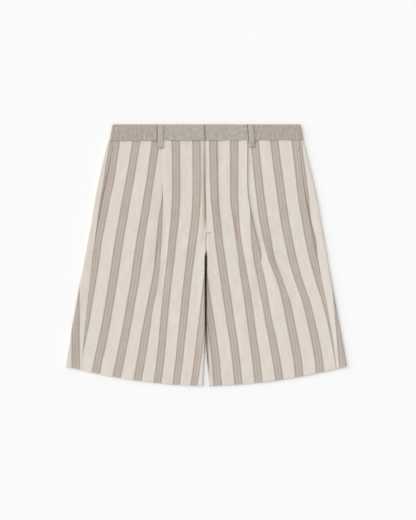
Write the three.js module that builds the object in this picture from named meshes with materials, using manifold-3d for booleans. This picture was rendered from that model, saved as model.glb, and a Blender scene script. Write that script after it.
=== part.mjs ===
// Pleated, striped bermuda shorts with a plain waistband, laid flat on their back.
// Millimetres. +X is the viewer's right, +Y runs from the hems to the waist, +Z is up,
// and the back of the shorts lies on z = 0. "Right" and "left" are the wearer's, so the
// right leg lies on the side of -X.
import * as THREE from "three";
import { mergeVertices } from "three/addons/utils/BufferGeometryUtils.js";
import Module from "manifold-3d";

const wasm = await Module();
wasm.setup();

// Driving dimensions
const LENGTH = 561; // top of the waistband to the lowest point of the hems
const HALF_HEM = 302; // centre line to the outer corner of a hem
const HEM_SWEEP = 42; // how far the hems rise from the crotch side to the outer corner
const HEM_CURVE = 1.9; // power of that rise
const BAND_HEIGHT = 34;
const HALF_WAIST = 202; // half of the waistband's top edge, and what its lower edge adds
const BAND_FLARE = 6.3;
const CLOTH = 1.0; // wall of the striped cloth
const BAND_WALL = 2.4; // wall of the doubled waistband
const LOOP_WALL = 1.2;
const GAP = 0.3; // between pieces at a seam and between layers
const FLY_END = 232; // lowest point of the fly, measured down from the waist
const CROTCH = 271;

// Middle height of cloth layers that lie straight on each other: 0 is the back.
const layer = (n) => CLOTH / 2 + n * (CLOTH + GAP);

// Sections across each leg, measured down from the top of the waistband. All the widths
// run out from the centre line: the side is the folded edge, the outseam the seam that
// lies on the front, fold the pleat's edge, tuck the pleat's depth, and inner the edge
// at the fly and the inseam, negative where it passes the centre line.
const COLUMNS = ["down", "side", "outseam", "fold", "tuck", "inner"];
const RIGHT_LEG = leg(-1, [
  [35, 210, 203, 93.5, 21, -1.5],
  [47, 214.5, 203, 93.5, 20.5, -1.5],
  [60, 217.5, 203.5, 93.5, 20, -1.5],
  [130, 233, 218, 93, 16, -1.5],
  [170, 240.5, 226, 92.5, 12.5, -1.5],
  [210, 247.5, 233, 93.5, 11, -1.5],
  [228, 251, 236, 94, 10.2, -1.5],
  [236, 252.5, 237.5, 94.3, 10, 0.15],
  [271, 259.5, 242, 96, 8.6, 0.3],
  [285, 262, 244.5, 97, 8, 2.8],
  [335, 271, 250, 101.5, 6, 3.2],
  [380, 279, 254.5, 104.5, 4, 3.2],
  [430, 288, 260, 109, 2, 3.3],
  [480, 296.5, 264.5, 117, 0.5, 4.2],
  [561, 308.7, 271.8, 126.7, 0, 6],
]);
const LEFT_LEG = leg(1, [
  [35, 209, 200.5, 88.5, 21, -1.1],
  [47, 213.5, 201, 88.5, 20.5, -1.1],
  [60, 216, 201.5, 88.5, 20, -1.1],
  [130, 231.5, 210.5, 88.5, 17.5, -1.1],
  [170, 240, 217.5, 92.5, 15.5, -1.1],
  [210, 246.5, 225, 100.5, 15, -1.1],
  [228, 250, 228.5, 104.5, 14.5, -1.1],
  [236, 251.3, 229.8, 106.5, 14, 0.15],
  [271, 257.5, 236, 115, 12, 0.3],
  [285, 260, 239, 118, 11, 1.6],
  [335, 268.5, 248.5, 131.5, 6.5, 1.4],
  [380, 277, 257.5, 143.5, 3.5, 1.4],
  [430, 286, 267, 155, 1.5, 1.6],
  [480, 295, 274.5, 164, 0.4, 2.6],
  [561, 308.7, 283.8, 177.6, 0, 4.7],
]);

// A leg's columns as smooth curves of the distance down from the waist.
function leg(sign, rows) {
  const downs = rows.map((row) => row[0]);
  const curves = COLUMNS.map((_, k) => curve(downs, rows.map((row) => row[k])));
  const named = Object.fromEntries(COLUMNS.map((name, k) => [name, curves[k]]));
  return { sign, ...named };
}

// A smooth curve through values given at rising places, straight past its ends.
function curve(places, values) {
  const last = places.length - 1;
  const slopeAt = (k) => {
    const before = Math.max(k - 1, 0);
    const after = Math.min(k + 1, last);
    return (values[after] - values[before]) / (places[after] - places[before]);
  };
  return (place) => {
    if (place <= places[0]) return values[0] + slopeAt(0) * (place - places[0]);
    if (place >= places[last]) return values[last] + slopeAt(last) * (place - places[last]);
    const k = places.findIndex((p) => p > place) - 1;
    const width = places[k + 1] - places[k];
    const t = (place - places[k]) / width;
    const ease = t * t * (3 - 2 * t);
    const leave = slopeAt(k) * width * t * (1 - t) ** 2;
    const arrive = slopeAt(k + 1) * width * t * t * (1 - t);
    return values[k] + (values[k + 1] - values[k]) * ease + leave - arrive;
  };
}

const lerp = THREE.MathUtils.lerp;
const rise = (t) => THREE.MathUtils.smoothstep(t, 0, 1);
const fall = (t) => 1 - rise(t);
const steps = (count) => Array.from({ length: count }, (_, k) => (k + 1) / count);

// How far down the hem lies at a distance from the centre line, and where a line that
// runs down the leg meets it.
const hemDown = (x) => LENGTH - HEM_SWEEP * (Math.abs(x) / HALF_HEM) ** HEM_CURVE;
function hemOf(line) {
  let down = LENGTH;
  for (let k = 0; k < 8; k++) down = hemDown(line(down));
  return down;
}

// Rows of a panel as shares of the way from the waistband to the hem, closer together
// under the waistband and where the fly ends and the legs part.
const ROWS = [
  0, 0.023, 0.06, 0.11, 0.16, 0.22, 0.28, 0.33, 0.3645, 0.3796, 0.41, 0.4458, 0.472,
  0.52, 0.57, 0.63, 0.69, 0.75, 0.81, 0.87, 0.94, 1,
];

// A grid of points from columns, each { line, at }: line(down) is the column's distance
// from the centre and at(down) its point [x, z], both on the wearer's own side.
function panelGrid({ sign }, columns) {
  const top = BAND_HEIGHT + GAP;
  const hems = columns.map((column) => hemOf(column.line));
  return ROWS.map((share) =>
    columns.map((column, k) => {
      const down = lerp(top, hems[k], share);
      const [x, z] = column.at(down);
      return point(sign * x, down, z);
    }),
  );
}

const point = (x, down, z) => new THREE.Vector3(x, LENGTH / 2 - down, z);

// The closed solid between two grids of the same size, facing out.
function slab(upper, lower) {
  const rows = upper.length;
  const columns = upper[0].length;
  const points = [...upper.flat(), ...lower.flat()];
  const under = rows * columns;
  const faces = [];
  const quad = (a, b, c, d) => {
    const across = points[a].distanceTo(points[c]);
    const other = points[b].distanceTo(points[d]);
    faces.push(...(across < other ? [a, b, c, a, c, d] : [a, b, d, b, c, d]));
  };
  const at = (row, column) => row * columns + column;
  for (let r = 0; r < rows - 1; r++) {
    for (let c = 0; c < columns - 1; c++) {
      const ring = [at(r, c), at(r + 1, c), at(r + 1, c + 1), at(r, c + 1)];
      quad(...ring);
      quad(...ring.map((k) => k + under).reverse());
    }
  }
  const rim = [];
  for (let c = 0; c < columns - 1; c++) rim.push(at(0, c));
  for (let r = 0; r < rows - 1; r++) rim.push(at(r, columns - 1));
  for (let c = columns - 1; c > 0; c--) rim.push(at(rows - 1, c));
  for (let r = rows - 1; r > 0; r--) rim.push(at(r, 0));
  rim.forEach((a, k) => {
    const b = rim[(k + 1) % rim.length];
    quad(a, b, b + under, a + under);
  });
  const volume = signedVolume(points, faces);
  if (volume < 0) faces.reverse();
  const geometry = new THREE.BufferGeometry().setFromPoints(points);
  geometry.setIndex(faces);
  return geometry;
}

function signedVolume(points, faces) {
  const cross = new THREE.Vector3();
  let volume = 0;
  for (let k = 0; k < faces.length; k += 3) {
    cross.crossVectors(points[faces[k + 1]], points[faces[k + 2]]);
    volume += points[faces[k]].dot(cross) / 6;
  }
  return volume;
}

// A wall of even thickness around a grid of its middle points.
function wall(grid, thickness) {
  const offset = (side) =>
    grid.map((row, r) =>
      row.map((middle, c) => {
        const along = row[Math.min(c + 1, row.length - 1)].clone();
        along.sub(row[Math.max(c - 1, 0)]);
        const below = grid[Math.min(r + 1, grid.length - 1)][c].clone();
        below.sub(grid[Math.max(r - 1, 0)][c]);
        const normal = along.cross(below).normalize();
        return middle.clone().addScaledVector(normal, (side * thickness) / 2);
      }),
    );
  return slab(offset(1), offset(-1));
}

// A closed geometry as a solid, and one solid less some others.
function solidOf(geometry) {
  const plain = geometry.clone();
  plain.deleteAttribute("normal");
  plain.deleteAttribute("uv");
  const merged = mergeVertices(plain, 1e-4);
  const mesh = new wasm.Mesh({
    numProp: 3,
    vertProperties: new Float32Array(merged.attributes.position.array),
    triVerts: new Uint32Array(merged.index.array),
  });
  return new wasm.Manifold(mesh);
}
function less(geometry, tools) {
  const rest = tools.reduce((solid, tool) => solid.subtract(solidOf(tool)), solidOf(geometry));
  const mesh = rest.getMesh();
  const cut = new THREE.BufferGeometry();
  cut.setAttribute("position", new THREE.BufferAttribute(mesh.vertProperties, 3));
  cut.setIndex(new THREE.BufferAttribute(mesh.triVerts, 1));
  return cut;
}

// Height of the front over the back. The cloth rolls over at the side, lies higher over
// the pocket bags, and rolls over again along the inseams.
const SIDE_HEIGHT = 4.1;
const SIDE_RADIUS = (SIDE_HEIGHT - layer(0)) / 2;
const SIDE_RUN = 14; // how far the roll at the side reaches inwards
const FLAT_HEIGHT = 2.5;
const HIP_LIFT = 0.75;
const HIP_END = 320;
function frontHeight({ side }, x, down) {
  const crest = side(down) - CLOTH / 2 - SIDE_RADIUS;
  const hip = HIP_LIFT * fall((down - HIP_END) / 80);
  const base = FLAT_HEIGHT + hip;
  return base + (SIDE_HEIGHT - base) * Math.exp(-(((crest - x) / SIDE_RUN) ** 2));
}

// The pleat is a tuck: the outer part of the front runs in under its inner part, turns
// back out and turns in again at the fold. Lower down the turns open into a soft step.
const TURN = (CLOTH + GAP) / 2; // radius of a pressed turn
const TURN_LENGTH = Math.PI * TURN;
const TURN_STEPS = 4;
const PRESSED = 3; // a tuck less deep than this opens
const DIP = 28; // how far out the cloth sinks towards the fold
const LEAD = 2.5; // where the outer part passes over to the tuck
function outerHeight(leg, x, down) {
  const angle = turnAngle(leg, down) / Math.PI;
  const out = rise((x - leg.fold(down) - LEAD) / DIP);
  const sunk = lerp(frontHeight(leg, x, down), layer(1), angle);
  return lerp(sunk, frontHeight(leg, x, down), out);
}
const turnAngle = ({ tuck }, down) => Math.PI * Math.min(Math.max(tuck(down), 0) / PRESSED, 1);

function tuckPath(leg, down) {
  const angle = Math.max(turnAngle(leg, down), 0.02);
  const radius = TURN_LENGTH / angle;
  const run = Math.max(leg.tuck(down) - TURN_LENGTH, 0.5);
  const fold = leg.fold(down);
  const overhang = angle > Math.PI / 2 ? TURN * (1 - Math.sin(angle)) : TURN;
  const start = fold + LEAD;
  const floor = outerHeight(leg, start, down);
  // x falls towards the fly, so the way in is negative.
  let x = fold - overhang + run * Math.cos(angle);
  let z = floor;
  const path = [[lerp(start, x, 0.5), z], [x, z]];
  for (const t of steps(TURN_STEPS)) {
    const turned = t * angle;
    path.push([x - radius * Math.sin(turned), z + radius * (1 - Math.cos(turned))]);
  }
  [x, z] = path.at(-1);
  for (const t of steps(2)) {
    path.push([x - t * run * Math.cos(angle), z + t * run * Math.sin(angle)]);
  }
  [x, z] = path.at(-1);
  for (const t of steps(TURN_STEPS)) {
    const left = (1 - t) * angle;
    const across = radius * (Math.sin(angle) - Math.sin(left));
    path.push([x - across, z + radius * (Math.cos(left) - Math.cos(angle))]);
  }
  return path;
}
const TUCK_POINTS = 2 + TURN_STEPS + 2 + TURN_STEPS;

// The inner part comes down from the fold to the height of the front. At the fly the
// left front lies over the zip and the shield, and the right front over the shield.
const PLEAT_RUN = 38;
const EDGE_HEIGHT = 4.2; // height of the rolled cloth along the inseam
const EDGE_RUN = 16;
const FLY_LIFT = {
  "-1": (x) => 0.75 * fall((x - 14) / 20),
  1: (x) => 1.25 * fall((x - 17) / 20) + 0.75 * fall((x - 39) / 24),
};
function innerHeight(leg, x, down) {
  const plain = frontHeight(leg, x, down);
  const top = tuckPath(leg, down).at(-1)[1];
  const past = leg.fold(down) - Math.max(leg.tuck(down), 0) - 3 - x;
  const pleat = (top - plain) * fall(past / PLEAT_RUN);
  const ended = rise((down - FLY_END - 4) / (CROTCH - FLY_END - 4));
  const hip = HIP_LIFT * fall((down - HIP_END) / 80);
  const level = FLAT_HEIGHT - plain + hip * fall(x / 90);
  const fly = (FLY_LIFT[leg.sign](x) - hip * fall(x / 90)) * (1 - ended);
  const edge = (EDGE_HEIGHT - plain) * fall((x - leg.inner(down)) / EDGE_RUN) * ended;
  return plain + pleat + (level + fly) * fall((x - 70) / 25) * (1 - ended) + edge;
}

// The edge at the inseam turns down, through a share of a quarter circle.
const EDGE_RADIUS = (EDGE_HEIGHT - layer(0)) / 2;
const EDGE_SPARE = 1.25 * GAP; // left out at each edge, as the two edges tilt together
const EDGE_ANGLE = Math.PI / 2 - EDGE_SPARE / EDGE_RADIUS;
const EDGE_STEPS = 3;
const EDGE_LENGTH = EDGE_ANGLE * EDGE_RADIUS;
const frontRoll = (down) => rise((down - FLY_END - 4) / 18);
const backRoll = (down) => rise((down - CROTCH + 20) / 20);
function edgeStart({ inner }, roll, down) {
  const angle = Math.max(EDGE_ANGLE * roll(down), 0.02);
  return inner(down) + CLOTH / 2 + (EDGE_LENGTH / angle) * Math.sin(angle);
}
function edgePoint(leg, roll, down, t) {
  const angle = Math.max(EDGE_ANGLE * roll(down), 0.02);
  const radius = EDGE_LENGTH / angle;
  const x = edgeStart(leg, roll, down) - radius * Math.sin(t * angle);
  return [x, radius * (1 - Math.cos(t * angle))];
}

// Side pockets: the outseam stands open between these places, by this much.
const POCKET_TOP = 60;
const POCKET_END = { "-1": 267, 1: 312 };
const POCKET_MOUTH = 1.2;
function mouth({ sign }, down) {
  const t = (down - POCKET_TOP) / (POCKET_END[sign] - POCKET_TOP);
  return t > 0 && t < 1 ? POCKET_MOUTH * Math.sin(Math.PI * t) ** 0.6 : 0;
}

function front(leg) {
  const outerEdge = (down) => leg.outseam(down) - GAP / 2 - mouth(leg, down);
  const columns = [];
  const add = (line, height) => columns.push({ line, at: (down) => [line(down), height(down)] });
  const outer = [0, 0.06, 0.15, 0.28, 0.44, 0.6, 0.75, 0.88, 1];
  for (const t of outer) {
    const line = (down) => lerp(outerEdge(down), leg.fold(down) + LEAD, t);
    add(line, (down) => outerHeight(leg, line(down), down));
  }
  for (let k = 0; k < TUCK_POINTS; k++) {
    columns.push({ line: leg.fold, at: (down) => tuckPath(leg, down)[k] });
  }
  for (const t of steps(9)) {
    const line = (down) =>
      lerp(tuckPath(leg, down).at(-1)[0], edgeStart(leg, frontRoll, down), t);
    add(line, (down) => innerHeight(leg, line(down), down));
  }
  for (const t of steps(EDGE_STEPS)) {
    const line = (down) => edgePoint(leg, frontRoll, down, t)[0];
    add(line, (down) => {
      const start = innerHeight(leg, edgeStart(leg, frontRoll, down), down);
      return start - edgePoint(leg, frontRoll, down, t)[1];
    });
  }
  return wall(panelGrid(leg, columns), CLOTH);
}

// The back lies on the surface, turns up along the inseam, and rolls over at the side
// on to the front, where it ends at the outseam.
function back(panel) {
  const leg = { ...panel, inner: (down) => Math.max(panel.inner(down), GAP / 2) };
  const columns = [];
  const add = (line, height) => columns.push({ line, at: (down) => [line(down), height(down)] });
  for (const t of [...steps(EDGE_STEPS)].reverse()) {
    const line = (down) => edgePoint(leg, backRoll, down, t)[0];
    add(line, (down) => layer(0) + edgePoint(leg, backRoll, down, t)[1]);
  }
  const crest = (down) => leg.side(down) - CLOTH / 2 - SIDE_RADIUS;
  for (const t of [0, 0.15, 0.3, 0.45, 0.6, 0.75, 0.9, 1]) {
    const line = (down) => lerp(edgeStart(leg, backRoll, down), crest(down), t);
    add(line, () => layer(0));
  }
  for (const t of steps(6)) {
    const line = (down) => crest(down) + SIDE_RADIUS * Math.sin(Math.PI * t);
    add(line, () => layer(0) + SIDE_RADIUS * (1 - Math.cos(Math.PI * t)));
  }
  for (const t of steps(3)) {
    const line = (down) => lerp(crest(down), leg.outseam(down) + GAP / 2, t);
    add(line, (down) => frontHeight(leg, line(down), down));
  }
  return wall(panelGrid(leg, columns), CLOTH);
}

// A flat strip of cloth between two lines, over a stretch of the way down.
function strip(sign, { from, to, line, height, thickness, rows, columns }) {
  const grid = [0, ...steps(rows)].map((r) => {
    const down = lerp(from, to, r);
    return [0, ...steps(columns)].map((c) => {
      const x = line(down, c);
      return point(sign * x, down, height(x, down));
    });
  });
  return wall(grid, thickness);
}

// Pocket bag, sewn to the back's edge behind the open seam and lying on the back.
const BAG_END = 318;
const BAG_FROM_FOLD = 34;
function pocket(leg) {
  const innerEdge = (down) => {
    const t = (down - BAND_HEIGHT) / (BAG_END - BAND_HEIGHT);
    return leg.fold(down) + BAG_FROM_FOLD + 30 * t ** 6;
  };
  return strip(leg.sign, {
    from: BAND_HEIGHT + 2,
    to: BAG_END,
    line: (down, t) => lerp(leg.outseam(down) + 3, innerEdge(down), t),
    height: () => layer(1),
    thickness: CLOTH,
    rows: 8,
    columns: 4,
  });
}

// Fly: the shield lies on the back, and the zip on the shield beside the right front.
const SHIELD = { right: 12, left: 36 };
const ZIP_WIDTH = 12;
const flyShield = () =>
  strip(1, {
    from: BAND_HEIGHT + 2,
    to: FLY_END + 2,
    line: (down, t) => lerp(-SHIELD.right, SHIELD.left, t),
    height: () => layer(1),
    thickness: CLOTH,
    rows: 6,
    columns: 3,
  });
const flyZip = () =>
  strip(1, {
    from: BAND_HEIGHT + 4,
    to: FLY_END - 6,
    line: (down, t) => 1.5 + GAP + ZIP_WIDTH * t,
    height: () => layer(2),
    thickness: CLOTH,
    rows: 6,
    columns: 2,
  });

// Waistband: the elasticated back goes round both sides on to the front, as far as the
// belt loops, and two flat pieces close over each other at the centre.
const BAND_TOP = 4.2; // middle height of the band's upper side
const BAND_RADIUS = (BAND_TOP - BAND_WALL / 2) / 2;
const BAND_JOINT = 98.5;
const GATHER = 9.5; // distance between two gathers of the elasticated stretch
const GATHER_DEPTH = 0.3;
const bandSide = (down) => HALF_WAIST + (BAND_FLARE * down) / BAND_HEIGHT;
function waistbandBack() {
  const half = (sign) => {
    const columns = [];
    const crest = (down) => bandSide(down) - BAND_WALL / 2 - BAND_RADIUS;
    for (const t of [0, ...steps(22)]) {
      columns.push((down) => {
        const x = lerp(BAND_JOINT + GAP / 2, crest(down), t);
        const even = rise((x - BAND_JOINT) / 8) * rise((crest(down) - x) / 8);
        const wave = Math.sin((2 * Math.PI * x) / GATHER) * GATHER_DEPTH * even;
        return [sign * x, BAND_TOP + wave * (0.35 + (0.65 * down) / BAND_HEIGHT)];
      });
    }
    for (const t of steps(6)) {
      const turn = Math.PI * t;
      columns.push((down) => [
        sign * (crest(down) + BAND_RADIUS * Math.sin(turn)),
        BAND_WALL / 2 + BAND_RADIUS * (1 + Math.cos(turn)),
      ]);
    }
    for (const t of steps(3)) {
      columns.push((down) => [sign * lerp(crest(down), 20, t), BAND_WALL / 2]);
    }
    return columns;
  };
  const columns = [...half(-1), () => [0, BAND_WALL / 2], ...half(1).reverse()];
  const grid = [0, ...steps(4)].map((r) => {
    const down = BAND_HEIGHT * r;
    return columns.map((at) => point(at(down)[0], down, at(down)[1]));
  });
  return wall(grid, BAND_WALL);
}

const BAND_UPPER = BAND_TOP + BAND_WALL / 2;
const BAND_LOWER = BAND_TOP - BAND_WALL / 2;
const TAB = { length: 27, thickness: 1 }; // the right band's end, under the left one's
const closing = (down) => lerp(2.4, 1, down / BAND_HEIGHT); // the closing edge, right of centre
function bandPiece(sign, xs, upper, lower) {
  const grid = (height) =>
    [0, ...steps(3)].map((r) => {
      const down = BAND_HEIGHT * r;
      return xs(down).map((x) => point(sign * x, down, height(x, down)));
    });
  return slab(grid(upper), grid(lower));
}
function waistbandFrontRight() {
  const step = (down) => closing(down) + 0.6;
  const xs = (down) => [
    BAND_JOINT - GAP / 2, 80, 60, 40, 20, step(down), step(down) - 0.3, -14, -TAB.length,
  ];
  const upper = (x, down) => (x < step(down) - 0.1 ? BAND_LOWER + TAB.thickness : BAND_UPPER);
  return bandPiece(-1, xs, upper, () => BAND_LOWER);
}
function waistbandFrontLeft() {
  const over = TAB.thickness + GAP;
  const xs = (down) => [-closing(down), 10, 20, 28, 34, 42, 50, 65, 80, BAND_JOINT - GAP / 2];
  const upper = (x) => BAND_UPPER + 0.9 * fall((x - 20) / 30);
  return bandPiece(1, xs, upper, (x) => BAND_LOWER + over * fall((x - 28) / 6));
}

// Belt loops: the front ones are sewn to the top of the band and to the pleats, and the
// left one leans outwards. Those at the back lie flush in the band and the panels.
const LOOP_WIDTH = 11;
const FRONT_LOOPS = {
  "-1": { top: 97.8, foot: 97.8, end: 51, seat: 5.9, tilt: -0.05 },
  1: { top: 96.3, foot: 100.8, end: 49, seat: 3.9, tilt: -0.03 },
};
const LOOP_BOW = 0.6;
function frontLoop(sign) {
  const { top, foot, end, seat, tilt } = FRONT_LOOPS[sign];
  const start = 1.5;
  const middle = (down) => lerp(top, foot, (down - start) / (end - start));
  const onBand = BAND_UPPER + GAP + LOOP_WALL / 2;
  return strip(sign, {
    from: start,
    to: end,
    line: (down, t) => middle(down) + (t - 0.5) * LOOP_WIDTH,
    height: (x, down) => {
      const bow = LOOP_BOW * Math.sin(Math.PI * Math.min(down / BAND_HEIGHT, 1));
      const onPanel = seat + tilt * (x - middle(down));
      return lerp(onBand + bow, onPanel, rise((down - BAND_HEIGHT - 1.5) / 8));
    },
    thickness: LOOP_WALL,
    rows: 12,
    columns: 2,
  });
}

const BACK_LOOP = { from: 2, to: 50, thickness: 1 };
const BACK_LOOPS = { right: -118, centre: 0, left: 118 };
const backLoop = (x) => loopBlock(x, LOOP_WIDTH, 0, BACK_LOOP.thickness);
const loopNotch = (x) => loopBlock(x, LOOP_WIDTH + 2 * GAP, -1, BACK_LOOP.thickness + GAP);
function loopBlock(x, width, low, high) {
  const spare = (width - LOOP_WIDTH) / 2;
  const length = BACK_LOOP.to - BACK_LOOP.from + 2 * spare;
  const block = new THREE.BoxGeometry(width, length, high - low);
  const centre = point(x, (BACK_LOOP.from + BACK_LOOP.to) / 2, (low + high) / 2);
  return block.translate(centre.x, centre.y, centre.z);
}

// Finishes
const striped = new THREE.MeshStandardMaterial({ color: 0xd9d2c6, roughness: 0.92 });
const plain = new THREE.MeshStandardMaterial({ color: 0xb3a89f, roughness: 0.9 });
const lining = new THREE.MeshStandardMaterial({ color: 0xd6cfc2, roughness: 0.92 });
const zipTape = new THREE.MeshStandardMaterial({ color: 0xc9c0b2, roughness: 0.7 });

const shorts = new THREE.Group();
function place(name, geometry, material) {
  const mesh = new THREE.Mesh(geometry, material);
  mesh.name = name;
  shorts.add(mesh);
}

const notches = Object.values(BACK_LOOPS).map(loopNotch);
for (const [name, side] of [["right", RIGHT_LEG], ["left", LEFT_LEG]]) {
  place("front_" + name, front(side), striped);
  place("back_" + name, less(back(side), notches), striped);
  place("pocket_" + name, pocket(side), lining);
  place("belt_loop_front_" + name, frontLoop(side.sign), plain);
}
place("fly_shield", flyShield(), striped);
place("fly_zip", flyZip(), zipTape);
place("waistband_back", less(waistbandBack(), notches), plain);
place("waistband_front_right", waistbandFrontRight(), plain);
place("waistband_front_left", waistbandFrontLeft(), plain);
for (const [name, x] of Object.entries(BACK_LOOPS)) {
  place("belt_loop_back_" + name, backLoop(x), plain);
}

export default shorts;
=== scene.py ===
from math import pi, radians

import bpy
import numpy as np
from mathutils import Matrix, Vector


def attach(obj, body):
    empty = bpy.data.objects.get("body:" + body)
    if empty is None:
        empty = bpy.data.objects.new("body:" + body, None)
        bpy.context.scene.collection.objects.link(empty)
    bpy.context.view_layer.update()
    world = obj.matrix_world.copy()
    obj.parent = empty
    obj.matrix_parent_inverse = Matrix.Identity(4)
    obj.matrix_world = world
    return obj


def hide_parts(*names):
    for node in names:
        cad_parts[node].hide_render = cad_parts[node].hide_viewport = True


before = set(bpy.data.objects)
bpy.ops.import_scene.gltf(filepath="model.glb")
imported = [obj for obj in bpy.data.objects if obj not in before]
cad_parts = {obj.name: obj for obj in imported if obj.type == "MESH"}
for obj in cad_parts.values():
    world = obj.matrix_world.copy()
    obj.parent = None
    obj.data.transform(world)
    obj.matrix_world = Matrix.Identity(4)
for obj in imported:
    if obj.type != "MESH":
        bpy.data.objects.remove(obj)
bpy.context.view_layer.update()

# Camera
# It looks straight down from six metres through a long lens, so the shorts show with
# hardly any perspective. The picture's long side takes in 1118 mm.
CAMERA_HEIGHT = 6.0
VIEW_LENGTH = 1.118
VIEW_CENTRE = (0.0038, -0.0108)
SENSOR = 36.0

camera_data = bpy.data.cameras.new("camera")
camera_data.sensor_width = SENSOR
camera_data.lens = SENSOR * CAMERA_HEIGHT / VIEW_LENGTH
camera_data.clip_end = 50
camera = bpy.data.objects.new("camera", camera_data)
camera.location = (*VIEW_CENTRE, CAMERA_HEIGHT)
bpy.context.scene.collection.objects.link(camera)
bpy.context.scene.camera = camera

# Floor and studio light
# A seamless pale floor under a white surround that is brighter to the upper left, where a
# large soft lamp stands low. Both give the soft shadow along the right side and the hems.
FLOOR_REACH = 6.0
SURROUND = 0.82
SURROUND_SWING = 0.36
BRIGHT_SIDE = (-0.78, 0.62, 0.0)
LAMP_STRENGTH = 1.5
LAMP_ANGLE = 50
LAMP_FROM = (-0.84, 0.42, 0.42)


def linear(hex_colour):
    """A colour from its sRGB hex value, with alpha."""
    parts = [int(hex_colour[k : k + 2], 16) / 255 for k in (1, 3, 5)]
    return tuple(c / 12.92 if c <= 0.04045 else ((c + 0.055) / 1.055) ** 2.4 for c in parts) + (1.0,)


def add_node(tree, kind, inputs=None, **settings):
    """A node with its settings and its inputs, each a value or the socket that feeds it."""
    made = tree.nodes.new(kind)
    for name, value in settings.items():
        setattr(made, name, value)
    for key, value in (inputs or {}).items():
        if isinstance(value, bpy.types.NodeSocket):
            tree.links.new(value, made.inputs[key])
        else:
            made.inputs[key].default_value = value
    return made


def empty_material(name):
    material = bpy.data.materials.new(name)
    material.use_nodes = True
    material.node_tree.nodes.clear()
    return material, material.node_tree


# Painted board with a matt finish: an even near-white.
floor_paint, tree = empty_material("matt_white_board")
board = add_node(
    tree, "ShaderNodeBsdfPrincipled", {"Base Color": linear("#f9f9f9"), "Roughness": 0.9}
)
add_node(tree, "ShaderNodeOutputMaterial", {"Surface": board.outputs["BSDF"]})

floor_corners = [(x * FLOOR_REACH, y * FLOOR_REACH, 0) for x, y in ((-1, -1), (1, -1), (1, 1), (-1, 1))]
floor_mesh = bpy.data.meshes.new("floor")
floor_mesh.from_pydata(floor_corners, [], [(0, 1, 2, 3)])
floor_mesh.materials.append(floor_paint)
floor = bpy.data.objects.new("floor", floor_mesh)
bpy.context.scene.collection.objects.link(floor)

world = bpy.data.worlds.new("surround")
world.use_nodes = True
tree = world.node_tree
ways = add_node(tree, "ShaderNodeTexCoord")
toward = add_node(
    tree, "ShaderNodeVectorMath", {0: ways.outputs["Generated"], 1: BRIGHT_SIDE}, operation="DOT_PRODUCT"
)
strength = add_node(
    tree,
    "ShaderNodeMath",
    {0: toward.outputs["Value"], 1: SURROUND_SWING, 2: SURROUND},
    operation="MULTIPLY_ADD",
)
tree.links.new(strength.outputs[0], tree.nodes["Background"].inputs["Strength"])
tree.nodes["Background"].inputs["Color"].default_value = linear("#ffffff")
bpy.context.scene.world = world

lamp_data = bpy.data.lights.new("soft_lamp", "SUN")
lamp_data.energy = LAMP_STRENGTH
lamp_data.angle = radians(LAMP_ANGLE)
lamp = bpy.data.objects.new("soft_lamp", lamp_data)
lamp.rotation_euler = Vector(LAMP_FROM).to_track_quat("Z", "Y").to_euler()
bpy.context.scene.collection.objects.link(lamp)
bpy.context.scene.view_settings.view_transform = "Standard"
bpy.context.scene.view_settings.look = "None"

# Front panels
# Two panels of striped cotton, each with a pleat pressed under at the waist that opens
# towards the hem. The stripes run with the grain, so they fan out down the leg. Lengths
# are millimetres, x to the viewer's right and down from the top of the waistband.
LENGTH = 561
HALF_HEM = 302
HEM_SWEEP = 42
HEM_CURVE = 1.9
BAND_HEIGHT = 34
BAND_TILT = 1.1  # the band's lower edge hangs this much lower on the right leg's side
HALF_WAIST = 202
SEAM = 0.3
BAND_SEAM = 0.1
LEVEL = 1.3  # from the middle of one cloth to the middle of the next
CLOTH = 0.8
FLY_END = 232
CROTCH = 271

# Lines down each leg, as distances from the centre: the folded side, the outseam, the
# edge of the pleat, its depth, and the edge at the fly and inseam.
LEG_COLUMNS = ("down", "side", "outseam", "fold", "tuck", "inner")
RIGHT_ROWS = (
    (35, 210.8, 203, 94.5, 21, -1.5),
    (47, 215.6, 203, 94.6, 20.5, -1.5),
    (60, 218.7, 203.5, 94.6, 20, -1.5),
    (130, 234.3, 218, 93.8, 16, -1.5),
    (170, 241.5, 226, 92.5, 12.5, -1.5),
    (210, 248, 233, 93.5, 11, -1.5),
    (228, 251, 236, 94, 10.2, -1.5),
    (236, 252.5, 237.5, 94.3, 10, 0.15),
    (271, 259.5, 242, 96, 8.6, 0.3),
    (285, 262, 244.5, 97, 8, 2.7),
    (335, 271, 250, 101.5, 6, 2.8),
    (380, 279, 254.5, 104.5, 4, 2.8),
    (430, 288, 260, 109, 2, 2.5),
    (480, 296.5, 264.5, 117, 0.5, 3.4),
    (520, 303, 268.2, 122, 0.2, 5.6),
    (561, 308.7, 271.8, 126.7, 0, 7),
)
LEFT_ROWS = (
    (35, 208, 200.5, 88.5, 21, -1.3),
    (47, 212.2, 201, 88.5, 20.5, -1.4),
    (60, 215, 201.5, 88.5, 20, -1.5),
    (130, 231.5, 210.5, 88.5, 17.5, -1.3),
    (170, 240, 217.5, 92.5, 15.5, -0.4),
    (210, 246.5, 225, 100.5, 15, 0.1),
    (228, 250, 228.5, 104.5, 14.5, 0.1),
    (236, 251.3, 229.8, 106.5, 14, 0.15),
    (271, 257.5, 236, 115, 12, 0.3),
    (285, 260, 239, 118, 11, 1.6),
    (335, 268.5, 248.5, 131.5, 6.5, 1.05),
    (380, 277, 257.5, 143.5, 3.5, 1.05),
    (430, 286, 267, 155, 1.5, 1),
    (480, 295, 274.5, 164, 0.4, 0.3),
    (520, 302, 279.2, 171, 0.2, 2.8),
    (561, 308.7, 283.8, 177.6, 0, 4.8),
)

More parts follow.
